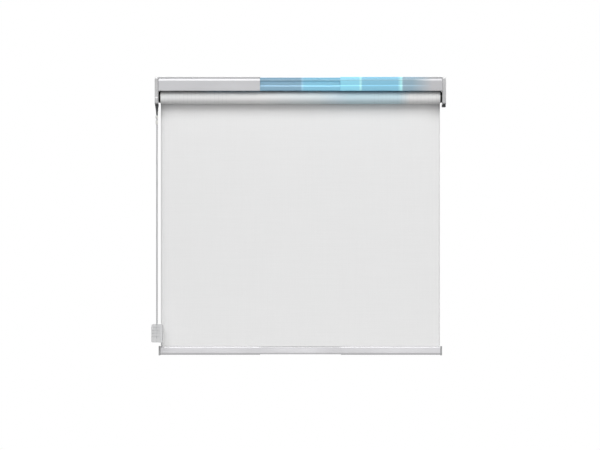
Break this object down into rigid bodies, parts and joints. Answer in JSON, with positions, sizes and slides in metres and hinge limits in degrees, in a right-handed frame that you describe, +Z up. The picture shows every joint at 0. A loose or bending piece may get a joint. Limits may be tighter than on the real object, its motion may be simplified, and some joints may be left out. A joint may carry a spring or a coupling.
{
  "type": "roller blind",
  "caption": "Width-adjustable roller blind with a telescopic headrail and bottom rail, bead-chain clutch, chain tensioner and a hanging sheet of plain pale grey cloth.",
  "frame": {"origin": "on the wall plane at mid width, at half the headrail's height, on the back of the middle wall clip", "axes": "+X along the blind to its right as seen from the room, +Y into the wall, +Z up"},
  "size_m": [0.9113, 0.0672, 0.8626],
  "materials": {
    "satin_silver": "satin silver powder coat",
    "satin_silver_blue_end": "satin silver, blending into pale blue toward its inner end",
    "blue_section": "satin sky-blue coating on lengthwise ribs",
    "bracket_silver": "satin silver powder coat",
    "satin_rail": "satin silver powder coat, faint cool tint",
    "zinc_steel": "bright zinc plate",
    "spring_steel": "drawn spring wire",
    "tube_steel": "galvanised rolled tube",
    "black_acetal": "moulded, satin",
    "dark_grey_plastic": "moulded, satin",
    "cap_grey": "moulded, satin",
    "nylon": "natural nylon, satin",
    "tensioner_grey": "moulded, fine spark texture",
    "bead_chain": "moulded polyester beads on a cord",
    "blind_fabric": "plain-woven coated blackout cloth"
  },
  "bodies": {
    "wall_frame": {"headrail_left": "satin_silver", "headrail_inner": "blue_section", "headrail_glide_left": "nylon", "headrail_glide_right": "nylon", "wall_clip": "zinc_steel", "bracket_left": "bracket_silver", "bracket_plate_left": "bracket_silver", "bracket_screw_left_upper": "zinc_steel", "bracket_screw_left_lower": "zinc_steel", "clutch_spindle": "black_acetal", "spindle_screw": "zinc_steel", "wrap_spring_outer": "spring_steel", "wrap_spring_inner": "spring_steel", "chain_front_run": "bead_chain", "chain_rear_run": "bead_chain", "chain_over_wheel": "bead_chain", "chain_under_pulley": "bead_chain", "chain_guide": "dark_grey_plastic", "tensioner_shell_left": "tensioner_grey", "tensioner_shell_right": "tensioner_grey", "tensioner_foot": "tensioner_grey", "tensioner_screw_upper": "zinc_steel", "tensioner_screw_lower": "zinc_steel", "tensioner_axle": "zinc_steel", "fabric_sheet": "blind_fabric"},
    "right_end": {"headrail_right": "satin_silver_blue_end", "bracket_right": "bracket_silver", "bracket_plate_right": "bracket_silver", "bracket_screw_right_upper": "zinc_steel", "bracket_screw_right_lower": "zinc_steel", "idle_bush": "nylon", "blank_plug": "dark_grey_plastic"},
    "roller": {"chain_wheel": "black_acetal", "drive_plug": "black_acetal", "tube_outer": "tube_steel", "fabric_roll": "blind_fabric"},
    "inner_roller": {"tube_inner": "tube_steel", "idle_plug": "black_acetal", "pin_spring_seat": "black_acetal", "pin_spring": "spring_steel"},
    "idle_pin_body": {"idle_pin": "zinc_steel"},
    "bottom_rail": {"bottom_rail_left": "satin_rail", "bottom_rail_inner": "satin_rail", "bottom_cap_left": "cap_grey", "hem_spline": "nylon"},
    "bottom_rail_end": {"bottom_rail_right": "satin_rail", "bottom_cap_right": "cap_grey"},
    "tensioner_wheel": {"tensioner_pulley": "nylon"},
    "chain_fittings": {"chain_stop": "nylon", "chain_joiner": "nylon"}
  },
  "joints": [
    {"name": "rail_lift", "type": "slide", "parent": "wall_frame", "child": "bottom_rail", "axis": [0, 0, 1], "range_m": [0, 0.7], "deforming": ["fabric_sheet"]},
    {"name": "roller_spin", "type": "hinge", "parent": "wall_frame", "child": "roller", "pos_m": [0, -0.03, -0.04], "axis": [1, 0, 0], "range_deg": [-5, 1942.5]},
    {"name": "width_slide", "type": "slide", "parent": "wall_frame", "child": "right_end", "axis": [1, 0, 0], "range_m": [0, 0.12]},
    {"name": "inner_tube_slide", "type": "slide", "parent": "roller", "child": "inner_roller", "axis": [1, 0, 0], "range_m": [-0.001, 0.121]},
    {"name": "idle_pin_press", "type": "slide", "parent": "inner_roller", "child": "idle_pin_body", "axis": [-1, 0, 0], "range_m": [0, 0.0085], "stiffness_N_per_m": 400, "springref_m": -0.004, "deforming": ["pin_spring"]},
    {"name": "bottom_rail_slide", "type": "slide", "parent": "bottom_rail", "child": "bottom_rail_end", "axis": [1, 0, 0], "range_m": [0, 0.12]},
    {"name": "tensioner_pulley_spin", "type": "hinge", "parent": "wall_frame", "child": "tensioner_wheel", "pos_m": [-0.44435, -0.03, -0.772], "axis": [1, 0, 0], "range_deg": [-5, 1942.5]},
    {"name": "chain_run", "type": "slide", "parent": "wall_frame", "child": "chain_fittings", "axis": [0, 0, -1], "range_m": [-0.001, 0.4208]}
  ],
  "couplings": [
    {"joint": "roller_spin", "follows": "rail_lift", "rad_per_m": 48.309},
    {"joint": "tensioner_pulley_spin", "follows": "rail_lift", "rad_per_m": 48.309},
    {"joint": "chain_run", "follows": "rail_lift", "ratio": 0.59971},
    {"joint": "inner_tube_slide", "follows": "width_slide", "ratio": 1}
  ]
}
